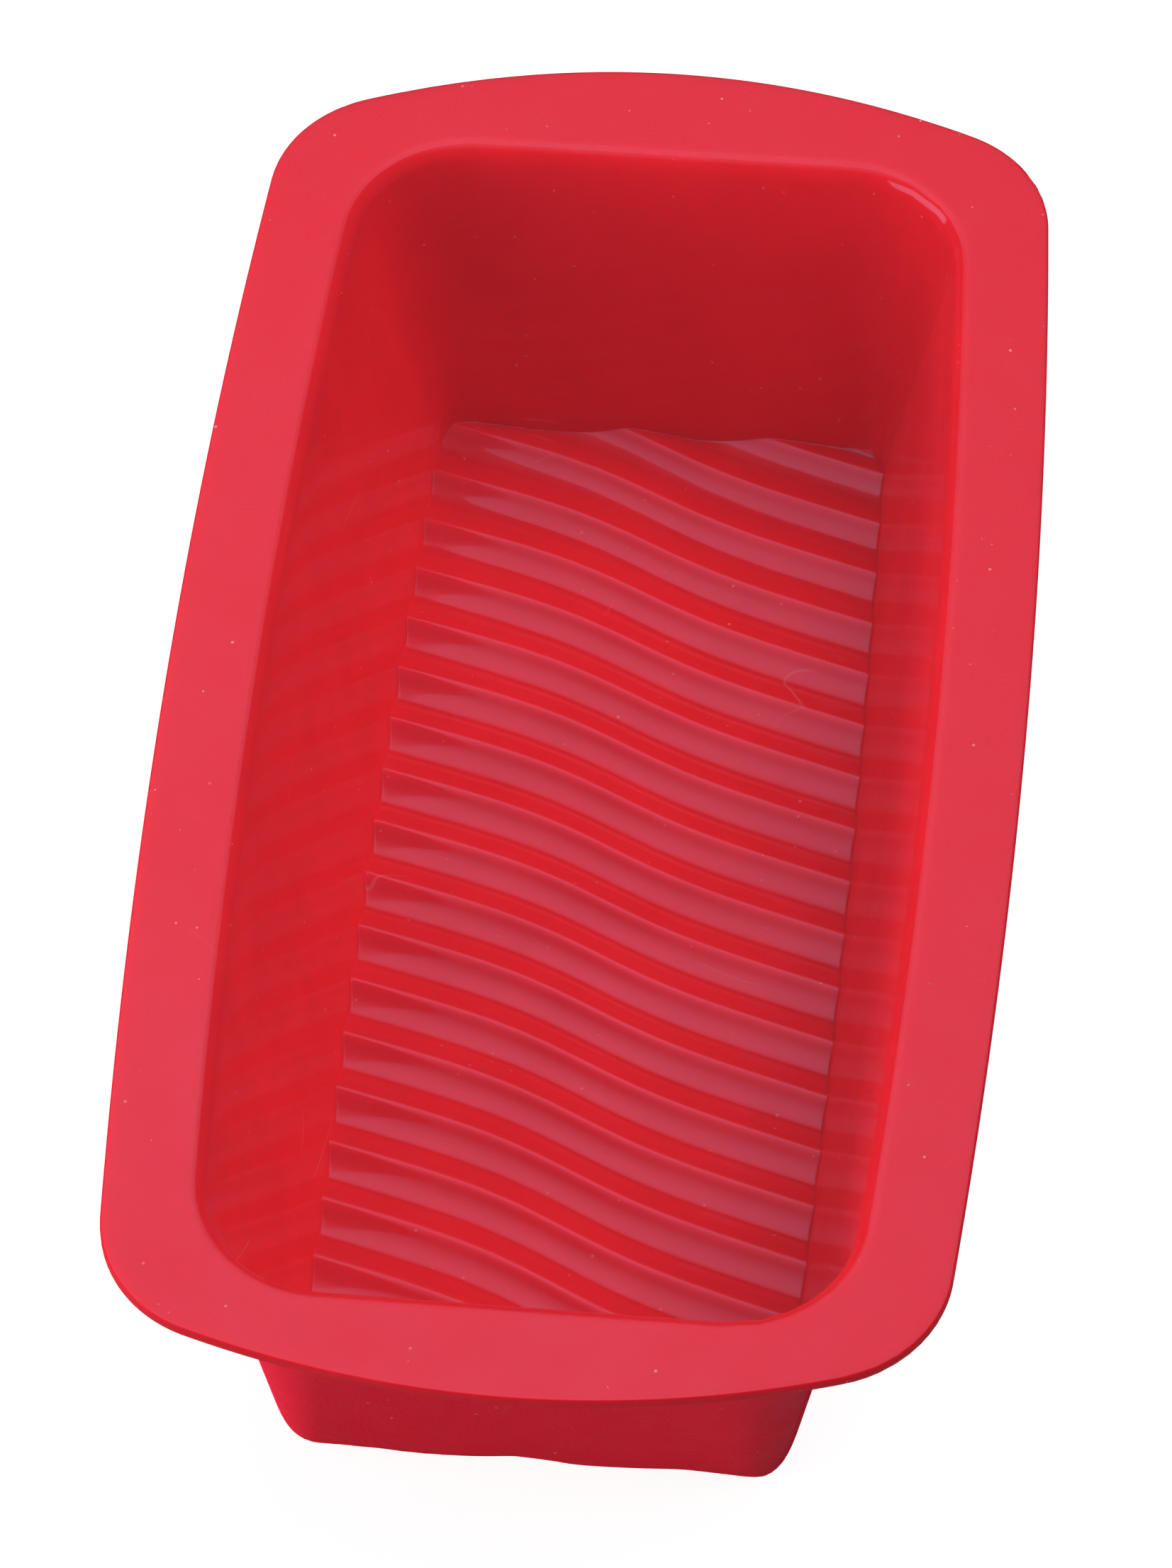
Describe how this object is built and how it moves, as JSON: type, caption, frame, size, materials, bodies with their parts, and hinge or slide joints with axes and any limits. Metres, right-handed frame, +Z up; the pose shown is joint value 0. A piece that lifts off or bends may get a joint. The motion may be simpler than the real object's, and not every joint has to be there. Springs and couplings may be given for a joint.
{
  "type": "silicone loaf pan",
  "caption": "Rectangular moulded silicone loaf pan with tapered walls, a wide flat bowed rim and a floor of slanting S-shaped waves.",
  "frame": {"origin": "centre of the base, at the level of the surface that the pan stands on", "axes": "+Z up out of the opening, +Y along the pan's length, +X across it"},
  "size_m": [0.136, 0.26, 0.062],
  "materials": {
    "red_silicone": "satin outside and on the rim, glossy inside"
  },
  "bodies": {
    "root": {"silicone_pan": "red_silicone"}
  },
  "joints": []
}
